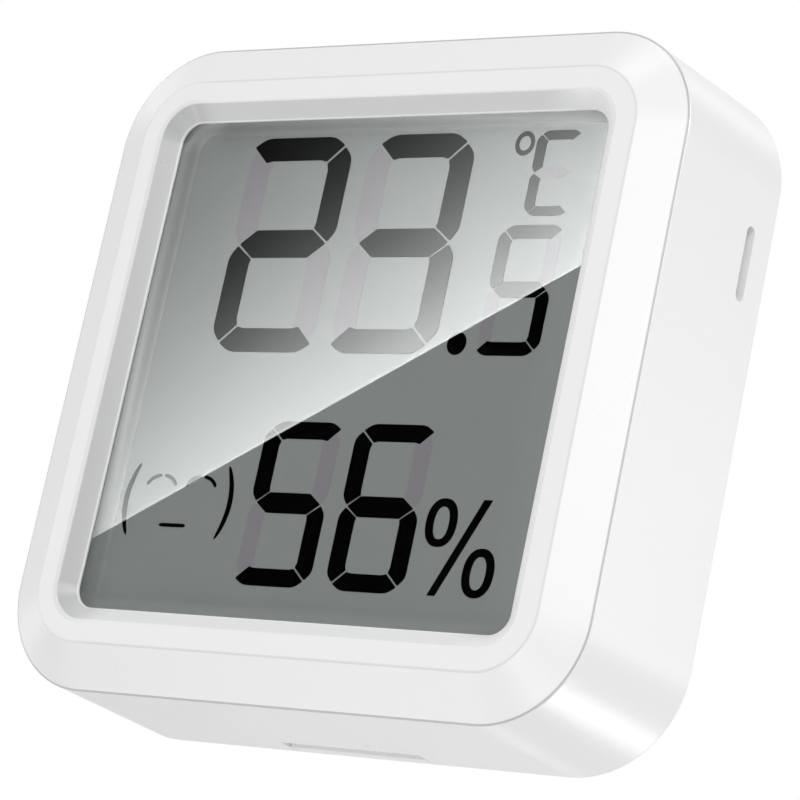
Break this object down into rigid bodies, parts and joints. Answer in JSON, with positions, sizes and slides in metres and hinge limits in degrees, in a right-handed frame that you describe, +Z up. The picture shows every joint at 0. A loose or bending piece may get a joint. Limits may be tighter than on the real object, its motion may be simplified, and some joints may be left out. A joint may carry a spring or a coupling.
{
  "type": "temperature humidity sensor",
  "caption": "Small square temperature and humidity sensor with a raised rim round a clear display window, a vent slot in the side and a lift-off back over a coin cell.",
  "frame": {"origin": "middle of the footprint, at the height of the lowest edge", "axes": "+Z up, the display faces -Y, +X towards the right of the display, where the vent slot is"},
  "size_m": [0.0468, 0.0134, 0.0468],
  "materials": {
    "white_shell": "fine matt texture",
    "clear_lens": "clear, polished",
    "display_film": "satin grey",
    "display_glass": "clear",
    "reflector_film": "pearl",
    "carrier_plastic": "satin",
    "elastomer": "matt",
    "board_green": "solder mask",
    "chip_black": "matt",
    "ceramic_tan": "matt",
    "bright_metal": "satin",
    "screw_steel": "zinc plated",
    "spring_steel": "nickel plated",
    "seal_plastic": "matt",
    "membrane": "porous",
    "foam": "open cell foam"
  },
  "bodies": {
    "case": {"front_frame": "white_shell", "rear_housing": "white_shell", "window_lens": "clear_lens", "front_polariser": "display_film", "front_glass": "display_glass", "rear_glass": "display_glass", "rear_reflector": "reflector_film", "display_carrier": "carrier_plastic", "contact_strip": "elastomer", "main_board": "board_green", "sensor_board": "board_green", "controller_chip": "chip_black", "climate_sensor": "chip_black", "chip_resistors": "chip_black", "chip_capacitors": "ceramic_tan", "timing_crystal": "bright_metal", "switch_body": "bright_metal", "sensor_pins": "bright_metal", "board_screws": "screw_steel", "case_screws": "screw_steel", "negative_contact": "spring_steel", "positive_contact": "spring_steel", "vent_membrane": "membrane"},
    "cover": {"back_cover": "white_shell", "cell_pad": "foam"},
    "cell": {"cell_can": "bright_metal", "cell_seal": "seal_plastic", "cell_cap": "bright_metal"},
    "button": {"unit_button": "carrier_plastic", "switch_plunger": "chip_black"}
  },
  "joints": [
    {"name": "cover_lift_off", "type": "slide", "parent": "case", "child": "cover", "axis": [0, 1, 0], "range_m": [0, 0.025]},
    {"name": "cell_lift_out", "type": "slide", "parent": "case", "child": "cell", "axis": [0, 1, 0], "range_m": [0, 0.0125]},
    {"name": "button_press", "type": "slide", "parent": "case", "child": "button", "axis": [0, -1, 0], "range_m": [0, 0.00025], "stiffness_N_per_m": 400}
  ],
  "couplings": [
    {"joint": "cell_lift_out", "follows": "cover_lift_off", "ratio": 0.5}
  ]
}
